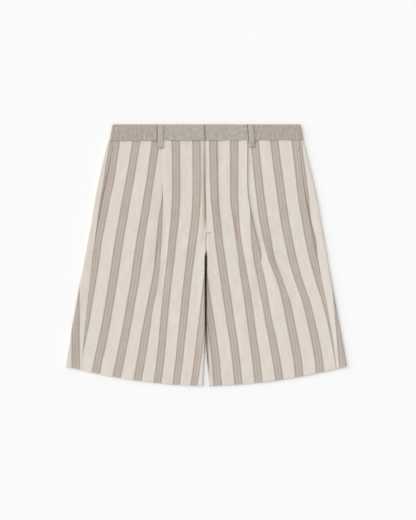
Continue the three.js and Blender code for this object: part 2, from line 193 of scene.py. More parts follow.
# Centre lines of the stripes, a pitch apart in the cloth. Those of the inner part are
# counted from the fly outwards, and those of the outer part from the pleat outwards.
PITCH = 44.0
STRIPE_DOWNS = (56, 120, 163, 206, 249, 292, 335, 378, 421, 464, 507, 540)
RIGHT_INNER = {
    0: (-23.5, -24, -23, -20, -15, -9, -2.6, 3, 7.7, 13.5, 18.4, 23.3),
    1: (20.9, 20.4, 21.2, 23.8, 29.5, 34.9, 40.1, 44.7, 49, 53.6, 57.9, 62.1),
    2: (65.1, 64.5, 65, 67.8, 72.6, 76.8, 82.3, 87, 91.1, 94.5, 98.4, 102.6),
    3: (109, 108.5, 109, 110.5, 114, 117, 120.5, 124.5, 128.5, 134.5, 140.1, 146),
}
RIGHT_OUTER = {
    3: (68, 86, 88.6, 95.4, 98, 100.9, 107.9, 116.6, 125.2, 133, 140.1, 146),
    4: (111.2, 119.3, 126.6, 133.1, 140.8, 147.3, 152.9, 160.4, 167.9, 176.2, 184.8, 192.1),
    5: (153.1, 164.3, 172.3, 179.4, 187.1, 193.6, 200, 207, 214.2, 222.5, 232.5, 238),
    6: (197, 206.2, 215.9, 224.2, 233.1, 238.2, 245.3, 252.6, 259.5, 268.3, 277, 283.5),
}
LEFT_INNER = {
    0: (-28.6, -27, -25, -20.8, -16.4, -10.8, -4.5, 1.5, 8.8, 15.3, 20.4, 23.2),
    1: (15.4, 17, 19.1, 23.2, 27.6, 33.2, 39.2, 45.6, 51.8, 58.6, 64, 67.5),
    2: (60, 59.8, 59.7, 63.5, 68.5, 76, 84, 90.8, 96.1, 101.6, 107.4, 110.8),
    3: (104, 104, 104.5, 105.2, 105.8, 110.8, 119, 126.5, 134, 142.8, 150.8, 155.8),
}
LEFT_OUTER = {
    3: (62, 68, 73, 78, 87, 98, 112, 126.5, 134, 142.8, 150.8, 155.8),
    4: (106.5, 112.4, 117.6, 123.4, 131.8, 142.5, 159.6, 171.9, 180.7, 188.7, 196.5, 199.5),
    5: (148, 156.8, 162.9, 168.9, 177.2, 186.4, 197.9, 213.9, 225.1, 234.8, 242.4, 245),
    6: (195, 202.2, 206.8, 214.8, 221.9, 231.8, 243.8, 256.7, 267.9, 276.7, 285.3, 290),
}

# Stripes that soft folds narrow: the stripe's count, the stretch down, and how much of its
# inner and of its outer half the fold hides.
HALF_STRIPE = 9.2
NARROWING_RUN = 50
NARROWED = {
    "right_outer": ((3, 250, 450, 3.4, 0),),
    "left_inner": ((2, 170, 320, 4.2, 0.5), (3, 140, 400, -2.3, -1)),
    "left_outer": ((4, 235, 390, 1.2, 3),),
}


def curve(places, values):
    """A smooth curve through values given at rising places, straight past its ends."""
    places, values = np.array(places, float), np.array(values, float)
    order = np.arange(len(places))
    before, after = np.maximum(order - 1, 0), np.minimum(order + 1, len(places) - 1)
    slopes = (values[after] - values[before]) / (places[after] - places[before])

    def at(place):
        k = np.clip(np.searchsorted(places, place, side="right") - 1, 0, len(places) - 2)
        width = places[k + 1] - places[k]
        past = (place - places[k]) / width
        t = np.clip(past, 0, 1)
        value = values[k] + (values[k + 1] - values[k]) * t * t * (3 - 2 * t)
        value += slopes[k] * width * t * (1 - t) ** 2 - slopes[k + 1] * width * t * t * (1 - t)
        return value + width * (slopes[k] * np.minimum(past, 0) + slopes[k + 1] * np.maximum(past - 1, 0))

    return at


def leg(sign, rows, inner_stripes, outer_stripes):
    """A leg's lines and stripes as smooth curves of the distance down."""
    downs = [row[0] for row in rows]
    lines = {name: curve(downs, [row[k] for row in rows]) for k, name in enumerate(LEG_COLUMNS)}
    stripes = {}
    for part, table in (("inner", inner_stripes), ("outer", outer_stripes)):
        places = {count: curve(STRIPE_DOWNS, row) for count, row in table.items()}
        folded = NARROWED.get(("right_" if sign < 0 else "left_") + part, ())
        stripes[part + "_stripes"] = {"places": places, "narrowed": folded}
    return {"sign": sign, **stripes, **lines}


RIGHT_LEG = leg(-1, RIGHT_ROWS, RIGHT_INNER, RIGHT_OUTER)
LEFT_LEG = leg(1, LEFT_ROWS, LEFT_INNER, LEFT_OUTER)


def rise(t):
    t = np.clip(t, 0, 1)
    return t * t * (3 - 2 * t)


def fall(t):
    return 1 - rise(t)


def narrowed(u, down, rows):
    """The grain with part of a stripe's half squeezed out of sight."""
    half_pitch = PITCH / 2
    for count, start, end, inner, outer in rows:
        amount = rise((down - start) / NARROWING_RUN) * rise((end - down) / NARROWING_RUN)
        from_centre = u - PITCH * count
        away = np.abs(from_centre)
        seen = HALF_STRIPE - np.where(from_centre < 0, inner, outer) * amount
        past = (away - seen) * (half_pitch - HALF_STRIPE) / (half_pitch - seen)
        wide = np.where(away < seen, away * HALF_STRIPE / seen, HALF_STRIPE + past)
        u = np.where(away < half_pitch, PITCH * count + np.sign(from_centre) * wide, u)
    return u


def across_grain(stripes, x, down):
    """How far across the cloth a point lies, in millimetres, from the stripes on both sides."""
    counts = sorted(stripes["places"])
    places = [stripes["places"][count](down) for count in counts]
    found = None
    for k in range(len(counts) - 1):
        share = (x - places[k]) / (places[k + 1] - places[k])
        value = PITCH * (counts[k] + share)
        found = value if found is None else np.where(x > places[k], value, found)
    return narrowed(found, down, stripes["narrowed"])


def band_end(x):
    """How far down the waistband reaches at a place across it."""
    return BAND_HEIGHT - BAND_TILT * x / HALF_WAIST


def hem_down(x):
    return LENGTH - HEM_SWEEP * (np.abs(x) / HALF_HEM) ** HEM_CURVE


def hem_of(line):
    """How far down a line meets the hem, found in a few steps."""
    down = float(LENGTH)
    for _ in range(8):
        down = float(hem_down(line(down)))
    return down


ROW_COUNT = 176


def panel_points(sign, columns):
    """Middle points and grain of a panel. Each column gives its line, and x, height and grain."""
    shares = np.linspace(0, 1, ROW_COUNT)
    points = np.zeros((ROW_COUNT, len(columns), 3))
    grain = np.zeros((ROW_COUNT, len(columns), 2))
    for k, (line, at) in enumerate(columns):
        top = band_end(sign * line(BAND_HEIGHT)) + BAND_SEAM
        down = top + (hem_of(line) - top) * shares
        x, height, u = (value + 0 * down for value in at(down))
        points[:, k] = np.stack([sign * x, down, height], axis=1)
        grain[:, k] = np.stack([u, down], axis=1)
    return points, grain


def hump(value, centre, width):
    """A smooth rise to 1 at a centre, and down again beyond it."""
    return np.exp(-(((value - centre) / width) ** 2))


FOLD_FADE = 0.3  # the share of a soft fold's length over which it fades at each end


def soft_fold(x, down, start, end, width, height):
    """A ridge, or a trough where height is negative, from start to end, fading at both."""
    start, end = np.array(start, float), np.array(end, float)
    run = end - start
    t = ((x - start[0]) * run[0] + (down - start[1]) * run[1]) / (run @ run)
    near = np.clip(t, 0, 1)
    away = np.hypot(x - start[0] - near * run[0], down - start[1] - near * run[1])
    return height * hump(away, 0, width) * rise(near / FOLD_FADE) * rise((1 - near) / FOLD_FADE)


WAVES = 16
WAVE_LENGTHS = (38, 130)
WAVE_LEAN = 0.5
WAVE_SPREAD = 1.4


def rumple(x, down, seed):
    """Uneven soft waves of the cloth, between about -1 and 1."""
    chance = np.random.default_rng(seed)
    total = np.zeros_like(x)
    for _ in range(WAVES):
        length = chance.uniform(*WAVE_LENGTHS)
        angle = chance.normal(0, WAVE_LEAN)
        phase = chance.uniform(0, 2 * pi)
        total += np.sin(2 * pi * (x * np.cos(angle) + down * np.sin(angle)) / length + phase)
    return total / WAVES**0.5 / WAVE_SPREAD


def cloth_piece(name, points, grain, thickness, material, shade=None):
    """A closed shell of even thickness round a grid of middle points, in the part's frame."""
    place = np.stack([points[..., 0], LENGTH / 2 - points[..., 1], points[..., 2]], axis=-1)
    normal = np.cross(np.gradient(place, axis=1), np.gradient(place, axis=0))
    normal /= np.linalg.norm(normal, axis=-1, keepdims=True)
    rows, columns = place.shape[:2]
    both = [place + normal * thickness / 2, place - normal * thickness / 2]
    corners = np.concatenate([side.reshape(-1, 3) for side in both]) / 1000
    number = np.arange(rows * columns).reshape(rows, columns)
    upper = np.stack([number[:-1, :-1], number[1:, :-1], number[1:, 1:], number[:-1, 1:]], -1)
    upper = upper.reshape(-1, 4)
    rim = np.concatenate([number[0, :-1], number[:-1, -1], number[-1, :0:-1], number[:0:-1, 0]])
    after = np.roll(rim, -1)
    under = rows * columns
    sides = np.stack([rim, after, after + under, rim + under], -1)
    faces = np.concatenate([upper, upper[:, ::-1] + under, sides])
    a, b, c, d = (corners[faces[:, k]] for k in range(4))
    volume = np.einsum("ij,ij->", a, np.cross(b, c)) + np.einsum("ij,ij->", a, np.cross(c, d))
    if volume < 0:
        faces = faces[:, ::-1]
    mesh = bpy.data.meshes.new(name)
    mesh.from_pydata(corners.tolist(), [], faces.tolist())
    weave = np.tile(grain.reshape(-1, 2), (2, 1))[faces.ravel()] / 1000
    mesh.uv_layers.new(name="weave").data.foreach_set("uv", weave.ravel().astype(np.float32))
    if shade is not None:
        depth = mesh.attributes.new("shade", "FLOAT", "POINT")
        depth.data.foreach_set("value", np.tile(shade.ravel(), 2).astype(np.float32))
    mesh.polygons.foreach_set("use_smooth", [True] * len(mesh.polygons))
    mesh.set_sharp_from_angle(angle=radians(55))
    mesh.materials.append(material)
    piece = bpy.data.objects.new(name, mesh)
    bpy.context.scene.collection.objects.link(piece)
    return piece


# Yarn-dyed cotton in a plain weave: matt, with slubs along both threads and wide stripes
# that are edged with two darker lines.
STRIPE_CREAM = "#ddd5ca"
STRIPE_MIDDLE = "#c1b4aa"
STRIPE_LINE = "#b1a399"
STRIPE_CENTRE = "#b7aba1"
# What cloth's colour is multiplied by to paint shade in a fold: half shaded, deep, and where no light gets
# in.
HALF_SHADED = "#c1baaf"
DEEP_SHADED = "#8a6846"
UNLIT = "#1c0d05"
# Width across the cloth and length down it of each unevenness in the yarn, in millimetres, and
# how finely it is broken up: yarns that stray sideways, slubs down and across the cloth, broad
# clouds of lighter and darker yarn, and threads coarser than the real ones so that they show.
STRIPED_YARN = {
    "stray": (1.11, 6.25, 1.0),
    "streaks": (1.92, 29.4, 2.0),
    "bars": (16.7, 1.61, 2.0),
    "clouds": (13.3, 33.3, 2.0),
    "threads": (0.909, 0.909, 3.0),
}
STRAY = 0.0007  # metres, at the unevenness's full swing: up to a third of a millimetre as a rule


def with_painted_shade(tree, colour):
    """The colour with painted shade, the warm dark of folds, by the mesh's own shade attribute."""
    depth = add_node(tree, "ShaderNodeAttribute", attribute_name="shade")
    ramp = add_node(tree, "ShaderNodeValToRGB", {"Fac": depth.outputs["Fac"]})
    ramp.color_ramp.elements[0].color = linear("#ffffff")
    ramp.color_ramp.elements[1].color = linear(UNLIT)
    ramp.color_ramp.elements.new(0.5).color = linear(HALF_SHADED)
    ramp.color_ramp.elements.new(0.8).color = linear(DEEP_SHADED)
    return add_node(
        tree,
        "ShaderNodeMix",
        {"Factor": 1.0, 6: colour, 7: ramp.outputs["Color"]},
        data_type="RGBA",
        blend_type="MULTIPLY",
    ).outputs[2]


def yarn_patterns(tree, weave, yarn):
    """The unevenness of a cloth's yarn on its own grain, a value for each row of sizes."""
    made = {}
    for name, (width, length, detail) in yarn.items():
        scale = (1000 / width, 1000 / length, 1.0)
        at = add_node(tree, "ShaderNodeMapping", {"Vector": weave.outputs["UV"], "Scale": scale})
        given = {"Vector": at.outputs["Vector"], "Scale": 1.0, "Detail": detail}
        made[name] = add_node(tree, "ShaderNodeTexNoise", given).outputs["Fac"]
    return made


def striped_cloth(name):
    material, tree = empty_material(name)
    weave = add_node(tree, "ShaderNodeUVMap", uv_map="weave")
    yarn = yarn_patterns(tree, weave, STRIPED_YARN)
    parts = add_node(tree, "ShaderNodeSeparateXYZ", {"Vector": weave.outputs["UV"]})
    # Yarns that stray soften the stripes' edges.
    shift = add_node(
        tree, "ShaderNodeMath", {0: yarn["stray"], 1: 2 * STRAY, 2: -STRAY}, operation="MULTIPLY_ADD"
    )
    place = add_node(
        tree, "ShaderNodeMath", {0: parts.outputs["X"], 1: shift.outputs[0]}, operation="ADD"
    )
    away = add_node(
        tree, "ShaderNodeMath", {0: place.outputs[0], 1: PITCH / 2000}, operation="PINGPONG"
    )
    share = add_node(tree, "ShaderNodeMath", {0: away.outputs[0], 1: 2000 / PITCH}, operation="MULTIPLY")
    ramp = add_node(tree, "ShaderNodeValToRGB", {"Fac": share.outputs[0]})
    stops = (
        (0.0, STRIPE_CENTRE),
        (0.03, STRIPE_CENTRE),
        (0.08, STRIPE_MIDDLE),
        (0.215, STRIPE_MIDDLE),
        (0.275, STRIPE_LINE),
        (0.375, STRIPE_LINE),
        (0.455, STRIPE_CREAM),
        (1.0, STRIPE_CREAM),
    )
    elements = ramp.color_ramp.elements
    elements[0].position, elements[1].position = stops[0][0], stops[-1][0]
    elements[0].color, elements[1].color = linear(stops[0][1]), linear(stops[-1][1])
    for position, colour in stops[1:-1]:
        elements.new(position).color = linear(colour)
    slubs = add_node(tree, "ShaderNodeMath", {0: yarn["streaks"], 1: yarn["bars"]}, operation="ADD")
    tone = add_node(
        tree, "ShaderNodeMapRange", {"Value": slubs.outputs[0], 1: 0.7, 2: 1.3, 3: 0.935, 4: 1.065}
    )
    clouded = add_node(
        tree, "ShaderNodeMapRange", {"Value": yarn["clouds"], 1: 0.3, 2: 0.7, 3: 0.97, 4: 1.02}
    )
    both_tones = add_node(
        tree,
        "ShaderNodeMath",
        {0: tone.outputs["Result"], 1: clouded.outputs["Result"]},
        operation="MULTIPLY",
    )
    coloured = add_node(
        tree,
        "ShaderNodeMix",
        {"Factor": 1.0, 6: ramp.outputs["Color"], 7: both_tones.outputs[0]},
        data_type="RGBA",
        blend_type="MULTIPLY",
    )
    shaded = with_painted_shade(tree, coloured.outputs[2])
    relief = add_node(tree, "ShaderNodeMath", {0: yarn["threads"], 1: slubs.outputs[0]}, operation="ADD")
    bump = add_node(
        tree, "ShaderNodeBump", {"Height": relief.outputs[0], "Strength": 0.35, "Distance": 0.0003}
    )
    surface = add_node(
        tree,
        "ShaderNodeBsdfPrincipled",
        {
            "Base Color": shaded,
            "Normal": bump.outputs["Normal"],
            "Roughness": 0.92,
            "Specular IOR Level": 0.05,
        },
    )
    add_node(tree, "ShaderNodeOutputMaterial", {"Surface": surface.outputs["BSDF"]})
    return material


cotton = striped_cloth("yarn_dyed_striped_cotton")

# Heights of the cloth's middle over the surface: where the side rolls over, at the back, and
# flat, with what the hips add down to HIP_END.
SIDE_HEIGHT = 4.1
BACK_HEIGHT = 0.5
SIDE_RADIUS = (SIDE_HEIGHT - BACK_HEIGHT) / 2
SIDE_RUN = 14
FLAT_HEIGHT = 2.5
HIP_LIFT = 0.75
HIP_END = 320
HIP_RUN = 80
# The pleat's two turns, the depth down to which it lies pressed flat, and how far the cloth
# dips towards it on either side.
TURN = LEVEL / 2
TURN_LENGTH = pi * TURN
TURN_STEPS = 8
RUN_STEPS = 5
PRESSED = 3
PLEAT_END = {-1: (250, 62), 1: (215, 95)}  # where each pleat starts to flatten out, and its run
DIP = 28
LEAD = 2.5
PLEAT_RUN = 38
SHOULDER = 3
# The inner edges, which roll over from the fly's end down.
EDGE_HEIGHT = 4.2
EDGE_RUN = 16
EDGE_RADIUS = (EDGE_HEIGHT - BACK_HEIGHT) / 2
EDGE_ANGLE = pi / 2 - 1.25 * SEAM / EDGE_RADIUS
EDGE_LENGTH = EDGE_ANGLE * EDGE_RADIUS
EDGE_STEPS = 6
SHOWN_EDGE = 0.5  # the piece's edge lies this far past its middle line, as in the solids


def blend(a, b, t):
    return a + (b - a) * t


def hip_lift(down):
    return HIP_LIFT * fall((down - HIP_END) / HIP_RUN)


def side_crest(leg, down):
    """Where the side starts to turn over to the back."""
    return leg["side"](down) - SHOWN_EDGE - SIDE_RADIUS


def front_height(leg, x, down):
    base = FLAT_HEIGHT + hip_lift(down)
    return base + (SIDE_HEIGHT - base) * hump(x, side_crest(leg, down), SIDE_RUN)


def tuck_depth(leg, down):
    start, run = PLEAT_END[leg["sign"]]
    return leg["tuck"](down) * fall((down - start) / run)


def turn_angle(leg, down):
    return pi * np.clip(tuck_depth(leg, down) / PRESSED, 0.02 / pi, 1)


def outer_height(leg, x, down):
    sunk = blend(front_height(leg, x, down), BACK_HEIGHT + LEVEL, turn_angle(leg, down) / pi)
    out = rise((x - leg["fold"](down) - LEAD) / DIP)
    return blend(sunk, front_height(leg, x, down), out)


def tuck_path(leg, down):
    """The cloth's way in under the pleat, back out and round its edge, as x and height."""
    angle = turn_angle(leg, down)
    radius = TURN_LENGTH / angle
    run = np.maximum(tuck_depth(leg, down) - TURN_LENGTH, 0.5)
    fold = leg["fold"](down)
    overhang = np.where(angle > pi / 2, TURN * (1 - np.sin(angle)), TURN)
    x = fold - overhang + run * np.cos(angle)
    base = outer_height(leg, fold + LEAD, down)
    height = base
    path = [(blend(fold + LEAD, x, t), height) for t in (0.2, 0.4, 0.6, 0.8, 1)]
    for t in np.arange(1, TURN_STEPS + 1) / TURN_STEPS:
        path.append((x - radius * np.sin(t * angle), height + radius * (1 - np.cos(t * angle))))
    x, height = path[-1]
    for t in np.arange(1, RUN_STEPS + 1) / RUN_STEPS:
        path.append((x - t * run * np.cos(angle), height + t * run * np.sin(angle)))
    x, height = path[-1]
    for t in np.arange(1, TURN_STEPS + 1) / TURN_STEPS:
        left = (1 - t) * angle
        across = radius * (np.sin(angle) - np.sin(left))
        path.append((x - across, height + radius * (np.cos(left) - np.cos(angle))))
    # Where the pleat opens it also flattens, so that no ruffle stands up at its end.
    pressed = np.minimum(angle / pi, 1) ** 0.8
    return [(x, base + (height - base) * pressed) for x, height in path]


ROLL_START = FLY_END + 4  # the inner edges roll under from here on
FRONT_ROLL = 18
BACK_ROLL = 20
LEVEL_FROM = 70  # out to here the front lies level beside the fly
LEVEL_RUN = 25
LEVEL_HIP = 90


def fly_lift(leg, x):
    """The height that the layers under the fly add: a dip at the flap's edge, then two steps."""
    if leg["sign"] < 0:
        return 0.75 * fall((x - 14) / 20) - hump(x, 2.5, 4.5)
    return 1.25 * fall((x - 17) / 20) + 0.75 * fall((x - 39) / 24)


def inner_height(leg, x, down):
    base = front_height(leg, x, down)
    top = tuck_path(leg, down)[-1][1]
    past = leg["fold"](down) - tuck_depth(leg, down) - SHOULDER - x
    pleat = (top - base) * fall(past / PLEAT_RUN)
    ended = rise((down - ROLL_START) / (CROTCH - ROLL_START))
    hip = hip_lift(down) * fall(x / LEVEL_HIP)
    level = FLAT_HEIGHT - base + hip
    fly = (fly_lift(leg, x) - hip) * (1 - ended)
    edge = (EDGE_HEIGHT - base) * fall((x - leg["inner"](down)) / EDGE_RUN) * ended
    return base + pleat + (level + fly) * fall((x - LEVEL_FROM) / LEVEL_RUN) * (1 - ended) + edge


def front_roll(down):
    return rise((down - ROLL_START) / FRONT_ROLL)


def back_roll(down):
    return rise((down - CROTCH + BACK_ROLL) / BACK_ROLL)


def edge_start(leg, roll, down):
    angle = np.maximum(EDGE_ANGLE * roll(down), 0.02)
    return leg["inner"](down) + SHOWN_EDGE + EDGE_LENGTH / angle * np.sin(angle)


def edge_point(leg, roll, down, t):
    angle = np.maximum(EDGE_ANGLE * roll(down), 0.02)
    radius = EDGE_LENGTH / angle
    return edge_start(leg, roll, down) - radius * np.sin(t * angle), radius * (1 - np.cos(t * angle))


POCKET_TOP = 60
POCKET_END = {-1: 267, 1: 312}
POCKET_MOUTH = 1.5


def mouth(leg, down):
    t = (down - POCKET_TOP) / (POCKET_END[leg["sign"]] - POCKET_TOP)
    return POCKET_MOUTH * np.sin(pi * np.clip(t, 0, 1)) ** 0.6


# Creases that lying and wearing leave in the front: start, end, width and height.
FRONT_CREASES = (
    ((-90, 150), (-96, 430), 8, -1.0),
    ((-84, 200), (-90, 360), 5, -0.5),
    ((104, 240), (118, 440), 8, -0.9),
    ((62, 180), (74, 330), 4, -0.7),
    ((128, 250), (158, 400), 13, 0.9),
    ((150, 210), (205, 420), 10, -0.5),
    ((-130, 260), (-150, 420), 16, 0.6),
    ((-228, 120), (-160, 170), 7, 0.35),
    ((214, 110), (150, 150), 8, 0.35),
    ((-30, 236), (-70, 300), 9, 0.4),
    ((24, 240), (60, 300), 9, 0.4),
    ((-8, 233), (10, 240), 2.5, 0.5),
    ((-262, 438), (-255, 470), 2.2, -0.5),
    ((-106.5, 262), (-109.5, 306), 1.8, -0.9),
    ((-60, 330), (-40, 520), 18, 0.5),
    ((70, 350), (88, 530), 18, 0.5),
    ((170, 430), (215, 540), 14, -0.4),
    ((-200, 380), (-215, 520), 14, -0.4),
)

# The line that holds the fly's facing: straight down, then round to the fly's end.
FLY_LINE = 25.5
FLY_BEND = 195
FLY_FOOT = 1.2


def fly_groove(x, down):
    """How deep a point lies in the dent along the fly's sewn line, from 0 to 1."""
    share = np.clip((x - FLY_FOOT) / (FLY_LINE - FLY_FOOT), 0, 1)
    curved = FLY_BEND + (FLY_END + 2 - FLY_BEND) * (1 - share**2.5) ** 0.4
    straight = hump(x, FLY_LINE, 1.6) * (down < FLY_BEND + 4)
    rounded = hump(down, curved, 1.8) * (x > FLY_FOOT - 2) * (x < FLY_LINE)
    return np.maximum(straight, rounded)


def front_relief(x, down):
    total = 0.28 * rumple(x, down, 7) - 0.2 * fly_groove(x, down)
    for start, end, width, height in FRONT_CREASES:
        total = total + soft_fold(x, down, start, end, width, height)
    return total * rise((down - BAND_HEIGHT - 4) / 40)


# How dark the painted shade is where no light gets in, as (down, shade) down the pleats' edges and down the
# strip beside the fly's flap.
PLEAT_SHADES = {
    -1: ((50, 0), (75, 0.2), (115, 0.25), (130, 0.45), (165, 0.45), (245, 0.38), (290, 0)),
    1: ((35, 0.25), (120, 0.35), (140, 0.55), (215, 0.45), (255, 0.2), (290, 0)),
}
FLAP_SHADES = ((34, 0.25), (80, 0.42), (150, 0.6), (200, 0.6), (228, 0))
# The painted shade of the gap between the legs: the run in which it starts, where it fades and the run of
# that, on the fronts' edges and on the back panels under them.
FRONT_GAP = {-1: (14, 400, 60), 1: (14, 470, 60)}
BACK_GAP = {-1: (10, 430, 36), 1: (10, 475, 55)}
# The painted shade beside an edge: how dark it is, how far from the edge its middle lies, and its width.
BESIDE_PLEAT = (0.35, 0, 2.5)
BESIDE_FLAP = (1, 1.9, 1.7)
FURTHER_FROM_FLAP = (0.25, 4, 5)
FLAP_EDGE = (0.2, -1, 1.5)
BESIDE_GAP = (0.14, 2, 3.5)
BESIDE_GAP_LOW = (0.95, 0.6, 2.2)
SEWN_SHADE = 0.14
# Long soft bands of painted shade, a little darker than the cloth round them, as FRONT_CREASES.
SOFT_SHADES = (
    ((58, 185), (71, 262), 5, 0.17),
    ((70, 240), (84, 345), 5, 0.1),
    ((128, 225), (158, 335), 6, 0.08),
    ((-105.5, 232), (-110, 312), 2.2, 0.18),
    ((-112, 255), (-122, 325), 9, 0.05),
    ((119, 215), (150, 320), 7, 0.06),
)


def by_down(rows, down):
    return np.interp(down, [row[0] for row in rows], [row[1] for row in rows])


def pleat_shade(leg, down):
    return by_down(PLEAT_SHADES[leg["sign"]], down)


def gap_shade(row, down):
    run_in, start, run = row
    return rise((down - CROTCH + 6) / run_in) * fall((down - start) / run)


def beside(distance, row):
    strength, middle, width = row
    return strength * hump(distance, middle, width)


def flap_shade(x, down):
    """On the right leg, beside the edge of the flap that laps over it."""
    from_flap = x + LEFT_LEG["inner"](down)
    dark = beside(from_flap, BESIDE_FLAP) + beside(from_flap, FURTHER_FROM_FLAP)
    return by_down(FLAP_SHADES, down) * dark


def inner_edge_shade(x, down):
    """On the left leg: the flap's edge, its sewn line, and the gap's edge, darker low down."""
    from_edge = x - LEFT_LEG["inner"](down)
    gap = rise((down - 295) / 50) * gap_shade(FRONT_GAP[1], down) * beside(from_edge, BESIDE_GAP)
    low = rise((down - 405) / 60) * fall((down - 505) / 50) * beside(from_edge, BESIDE_GAP_LOW)
    flap = (down < FLY_END) * beside(x, FLAP_EDGE)
    return np.maximum(np.maximum(gap, low), np.maximum(flap, SEWN_SHADE * fly_groove(x, down)))


def front_shade(leg, x, down):
    # Painted shade on a front: along soft bands, beside the pleat's edge, and beside the flap or the gap.
    past = x - leg["fold"](down) - LEAD
    beside_pleat = pleat_shade(leg, down) * beside(past, BESIDE_PLEAT) * (past > 0)
    inner = flap_shade(x, down) if leg["sign"] < 0 else inner_edge_shade(x, down)
    painted_band_shade = sum(soft_fold(leg["sign"] * x, down, *row) for row in SOFT_SHADES)
    return np.maximum(painted_band_shade, np.maximum(beside_pleat, inner))


OUTER_STEPS = 48
INNER_STEPS = 46


def front_panel(leg):
    columns = []
    sign = leg["sign"]

    def plain(line, height, stripes):
        def at(down):
            x = line(down)
            lie = height(leg, x, down) + front_relief(sign * x, down)
            return x, lie, across_grain(stripes, x, down)

        columns.append((line, at))

    def outer_edge(down):
        return leg["outseam"](down) - SEAM / 2 - mouth(leg, down)

    def start(down):
        return leg["fold"](down) + LEAD

    for t in np.linspace(0, 1, OUTER_STEPS) ** 0.9:
        plain(lambda down, t=t: blend(outer_edge(down), start(down), t), outer_height, leg["outer_stripes"])
    path_length = len(tuck_path(leg, np.array([float(BAND_HEIGHT)])))

    def tucked(k):
        def at(down):
            path = tuck_path(leg, down)
            steps = [np.hypot(b[0] - a[0], b[1] - a[1]) for a, b in zip(path, path[1:])]
            share = sum(steps[:k], np.zeros_like(down)) / sum(steps)
            under = across_grain(leg["outer_stripes"], path[0][0], down)
            over = across_grain(leg["inner_stripes"], path[-1][0], down)
            first, last = (front_relief(sign * x, down) for x in (start(down), path[-1][0]))
            return path[k][0], path[k][1] + blend(first, last, k / path_length), blend(under, over, share)

        return at

    for k in range(path_length):
        columns.append((leg["fold"], tucked(k)))
    for t in np.linspace(0, 1, INNER_STEPS)[1:]:
        plain(
            lambda down, t=t: blend(tuck_path(leg, down)[-1][0], edge_start(leg, front_roll, down), t),
            inner_height,
            leg["inner_stripes"],
        )
    flat_columns = len(columns)
    for t in np.arange(1, EDGE_STEPS + 1) / EDGE_STEPS:

        def rolled(down, t=t):
            begin = edge_start(leg, front_roll, down)
            x, drop = edge_point(leg, front_roll, down, t)
            height = inner_height(leg, begin, down) + front_relief(sign * begin, down) - drop
            return x, height, across_grain(leg["inner_stripes"], begin, down) - t * EDGE_LENGTH

        columns.append((lambda down, t=t: edge_point(leg, front_roll, down, t)[0], rolled))
    points, grain = panel_points(sign, columns)
    down = points[..., 1]
    shade = front_shade(leg, sign * points[..., 0], down)
    # Painted shade in the pleat: darkest inside, and lighter where it comes out at either edge.
    folded = slice(OUTER_STEPS, OUTER_STEPS + path_length)
    turned = np.interp(np.arange(path_length), (0, 3, path_length - 6, path_length - 1), (0.35, 1, 1, 0.1))
    shade[:, folded] = np.maximum(shade[:, folded], pleat_shade(leg, down[:, folded]) * turned)
    edge = np.arange(1, EDGE_STEPS + 1) / EDGE_STEPS
    rolled_shade = 0.95 * edge**0.9 if sign > 0 else 0.6 * rise((edge - 0.6) / 0.4)
    rolled_shade = gap_shade(FRONT_GAP[sign], down[:, flat_columns:]) * rolled_shade
    shade[:, flat_columns:] = np.maximum(shade[:, flat_columns:], rolled_shade)
    return points, grain, shade


for name, side in (("right", RIGHT_LEG), ("left", LEFT_LEG)):
    points, grain, shade = front_panel(side)
    piece = cloth_piece("front_" + name, points, grain, CLOTH, cotton, shade)
    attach(piece, "root")
    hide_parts("front_" + name)

# Back panels
# Two panels of the same cloth, joined at the centre back. They lie on the surface, fold
# over at the sides, and are sewn to the fronts along the outseams. The elastic waistband
# gathers them into small pleats at the top.
BACK_STRIPES = {
    -1: ((60, 246), (95, 252), (129, 257), (163, 263), (249, 274), (325, 280.4), (540, 280.4)),
    1: ((60, 243), (148, 254.8), (206, 261), (249, 271.5), (284, 274), (378, 282.4), (520, 294.3)),
}
GATHERED = 46  # how far down the gathers reach
BACK_STEPS = 70
SIDE_STEPS = 12
WRAP_STEPS = 12
SHADED_COLUMNS = 8  # those at the inner edge, which show through the gap
BACK_CREASES = (
    ((-60, 250), (-200, 300), 14, 0.5),
    ((70, 245), (190, 320), 14, 0.5),
    ((-40, 280), (-120, 420), 12, 0.4),
    ((40, 300), (110, 440), 12, 0.4),
    ((-150, 120), (-120, 320), 16, 0.4),
    ((150, 140), (110, 300), 16, 0.4),
)


def back_relief(x, down):
    total = 0.12 + 0.12 * rumple(x, down, 21)
    for start, end, width, height in BACK_CREASES:
        total = total + soft_fold(x, down, start, end, width, height)
    gathers = 0.35 + 0.35 * np.sin(2 * pi * x / 13 + 1.4 * np.sin(x / 31))
    return np.maximum(total, 0) + gathers * fall((down - BAND_HEIGHT) / GATHERED)


